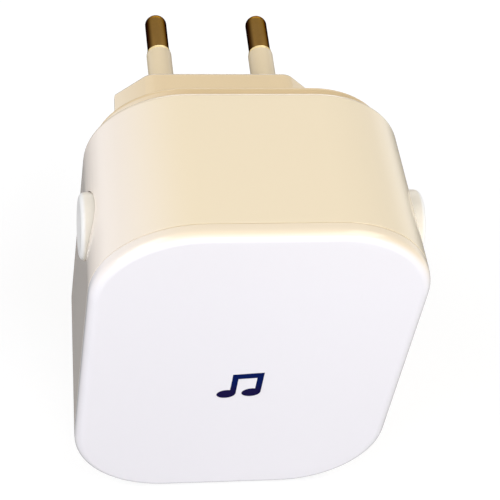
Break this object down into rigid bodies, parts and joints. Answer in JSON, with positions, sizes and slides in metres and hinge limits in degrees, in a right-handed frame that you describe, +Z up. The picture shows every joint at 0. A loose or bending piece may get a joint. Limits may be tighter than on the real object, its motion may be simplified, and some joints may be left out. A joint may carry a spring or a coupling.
{
  "type": "wireless doorbell receiver",
  "caption": "Plug-in wireless doorbell receiver: rounded tapered housing, flat cover with a beamed-note window, round side buttons and a two-pin mains plug on its back.",
  "frame": {"origin": "midway between the two plug pins on the plug neck's end face, the face that meets the wall socket", "axes": "+Y along the pins into the socket, +Z up the wall, +X to the right as seen from the room; the front cover faces -Y"},
  "size_m": [0.0562, 0.0769, 0.0754],
  "materials": {
    "copper": "enamelled copper",
    "zinc_screw": "zinc-plated steel",
    "black_plastic": "matt black",
    "can_aluminium": "sleeved aluminium can",
    "film_yellow": "yellow box capacitor",
    "cover_plastic": "glossy cool white cover",
    "resistor_green": "painted resistor",
    "lamp_glass": "clear lamp body",
    "white_plastic": "matt white",
    "board_green": "solder resist green",
    "lead_blue": "blue insulation",
    "lead_brown": "brown insulation",
    "note_blue": "translucent navy light guide",
    "pin_brass": "turned brass with dark edges",
    "sleeve_plastic": "cream pin sleeves",
    "ivory_plastic": "satin ivory housing plastic",
    "bright_steel": "bright steel",
    "button_plastic": "satin off-white buttons",
    "film_grey": "formed film diaphragm",
    "speaker_steel": "pressed steel",
    "foam_black": "foam gasket",
    "lead_black": "black insulation",
    "lead_red": "red insulation",
    "magnet_metal": "nickel-plated magnet",
    "surround_rubber": "flexible surround",
    "terminal_brown": "fibre terminal plate",
    "ferrite": "dark ferrite",
    "winding_tape": "copper winding under yellow tape"
  },
  "bodies": {
    "receiver": {"antenna_coil": "copper", "board_screw_lower_left": "zinc_screw", "board_screw_lower_right": "zinc_screw", "board_screw_upper_left": "zinc_screw", "board_screw_upper_right": "zinc_screw", "bridge_rectifier": "black_plastic", "bulk_capacitor": "can_aluminium", "clamp_screw_left": "zinc_screw", "clamp_screw_right": "zinc_screw", "cover_screw_lower_left": "zinc_screw", "cover_screw_lower_right": "zinc_screw", "cover_screw_upper_left": "zinc_screw", "cover_screw_upper_right": "zinc_screw", "film_capacitor": "film_yellow", "front_cover": "cover_plastic", "fusible_resistor": "resistor_green", "indicator_lamp": "lamp_glass", "lamp_shroud": "white_plastic", "main_board": "board_green", "mains_lead_left": "lead_blue", "mains_lead_right": "lead_brown", "melody_chip": "black_plastic", "neck_screw_left": "zinc_screw", "neck_screw_right": "zinc_screw", "note_light_guide": "note_blue", "output_capacitor": "can_aluminium", "pin_left": "pin_brass", "pin_lug_left": "pin_brass", "pin_lug_right": "pin_brass", "pin_right": "pin_brass", "pin_sleeve_left": "sleeve_plastic", "pin_sleeve_right": "sleeve_plastic", "plug_neck": "ivory_plastic", "rear_housing": "ivory_plastic", "rear_plate": "ivory_plastic", "receiver_board": "board_green", "receiver_crystal": "bright_steel", "speaker_clamp": "white_plastic", "speaker_frame": "speaker_steel", "speaker_gasket": "foam_black", "speaker_lead_left": "lead_black", "speaker_lead_right": "lead_red", "speaker_magnet": "magnet_metal", "speaker_pole_plate": "bright_steel", "speaker_surround": "surround_rubber", "speaker_terminal": "terminal_brown", "speaker_yoke": "bright_steel", "switch_body_left": "black_plastic", "switch_body_right": "black_plastic", "transformer_bobbin": "black_plastic", "transformer_core": "ferrite", "transformer_winding": "winding_tape"},
    "button_left": {"side_button_left": "button_plastic"},
    "button_right": {"side_button_right": "button_plastic"},
    "plunger_left": {"switch_plunger_left": "white_plastic"},
    "plunger_right": {"switch_plunger_right": "white_plastic"},
    "diaphragm": {"speaker_diaphragm": "film_grey", "voice_coil": "copper"}
  },
  "joints": [
    {"name": "left_button_press", "type": "slide", "parent": "receiver", "child": "button_left", "axis": [1, 0, 0], "range_m": [0, 0.0003], "stiffness_N_per_m": 2000},
    {"name": "right_button_press", "type": "slide", "parent": "receiver", "child": "button_right", "axis": [-1, 0, 0], "range_m": [0, 0.0003], "stiffness_N_per_m": 2000},
    {"name": "left_plunger_travel", "type": "slide", "parent": "receiver", "child": "plunger_left", "axis": [1, 0, 0], "range_m": [0, 0.0003]},
    {"name": "right_plunger_travel", "type": "slide", "parent": "receiver", "child": "plunger_right", "axis": [-1, 0, 0], "range_m": [0, 0.0003]},
    {"name": "diaphragm_travel", "type": "slide", "parent": "receiver", "child": "diaphragm", "axis": [0, 0, 1], "range_m": [-0.00025, 0.00025], "stiffness_N_per_m": 800, "deforming": ["speaker_surround"]}
  ],
  "couplings": [
    {"joint": "left_plunger_travel", "follows": "left_button_press", "ratio": 1},
    {"joint": "right_plunger_travel", "follows": "right_button_press", "ratio": 1}
  ]
}
